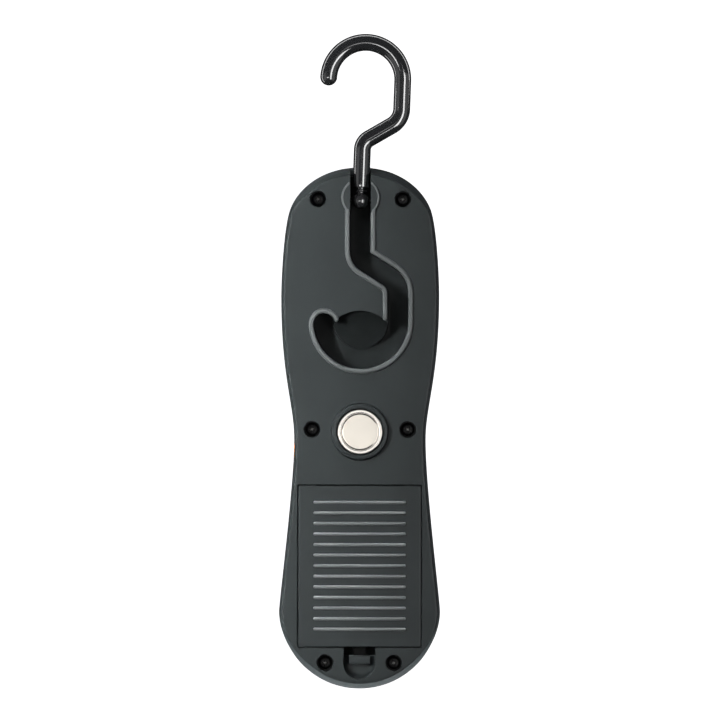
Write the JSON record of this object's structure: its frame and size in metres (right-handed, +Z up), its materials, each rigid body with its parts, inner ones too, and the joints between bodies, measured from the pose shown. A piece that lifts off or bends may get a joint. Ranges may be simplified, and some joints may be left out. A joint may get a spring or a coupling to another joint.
{
  "type": "work light",
  "caption": "Hand-held battery work light with a swing-out hanging hook, rear magnet, ribbed battery door with latch and a side power button.",
  "frame": {"origin": "centre of the magnet's outer face", "axes": "+Z up along the body towards the hook, +Y out of the rear face, -Y out of the lens"},
  "size_m": [0.065, 0.0352, 0.2635],
  "materials": {
    "slate_plastic": "fine matte texture",
    "black_plastic": "polished",
    "orange_plastic": "satin",
    "clear_plastic": "clear",
    "white_plastic": "satin",
    "led_phosphor": "matte",
    "aluminium": "rolled",
    "circuit_board": "solder mask",
    "nickel": "bright nickel plate",
    "black_steel": "blackened",
    "spring_steel": "nickel plated",
    "cell_jacket": "printed film",
    "wire": "smooth"
  },
  "bodies": {
    "housing": {"rear_cover": "slate_plastic", "front_housing": "slate_plastic", "hook_pin": "black_steel", "magnet_cup": "nickel", "magnet_disc": "nickel", "housing_screw_1": "black_steel", "housing_screw_2": "black_steel", "housing_screw_3": "black_steel", "housing_screw_4": "black_steel", "housing_screw_5": "black_steel", "housing_screw_6": "black_steel", "lens": "clear_plastic", "front_bezel": "orange_plastic", "reflector": "white_plastic", "led_board": "aluminium", "cob_led": "led_phosphor", "driver_board": "circuit_board", "switch_body": "black_plastic", "battery_lead_positive": "wire", "battery_lead_negative": "wire", "led_lead_positive": "wire", "led_lead_negative": "wire", "battery_cell_1": "cell_jacket", "battery_cell_2": "cell_jacket", "battery_cell_3": "cell_jacket", "battery_spring_1": "spring_steel", "battery_spring_2": "spring_steel", "battery_spring_3": "spring_steel", "contact_positive": "spring_steel", "contact_link_high": "spring_steel", "contact_link_low": "spring_steel", "contact_negative": "spring_steel"},
    "hook_arm": {"hook": "black_plastic"},
    "door": {"battery_door": "slate_plastic"},
    "latch": {"door_latch": "slate_plastic"},
    "button": {"power_button": "orange_plastic", "switch_plunger": "white_plastic"}
  },
  "joints": [
    {"name": "hook_fold", "type": "hinge", "parent": "housing", "child": "hook_arm", "pos_m": [0, -0.0062, 0.0929], "axis": [-0.9998, 0, -0.0175], "range_deg": [0, 180]},
    {"name": "battery_door_hinge", "type": "hinge", "parent": "housing", "child": "door", "pos_m": [0, -0.0026, -0.0215], "axis": [1, 0, 0], "range_deg": [0, 60]},
    {"name": "latch_press", "type": "slide", "parent": "door", "child": "latch", "axis": [0, 0, 1], "range_m": [0, 0.0012], "stiffness_N_per_m": 2500, "springref_m": -0.0004},
    {"name": "power_press", "type": "slide", "parent": "housing", "child": "button", "axis": [-1, 0, 0], "range_m": [0, 0.001], "stiffness_N_per_m": 2500, "springref_m": -0.0004}
  ]
}
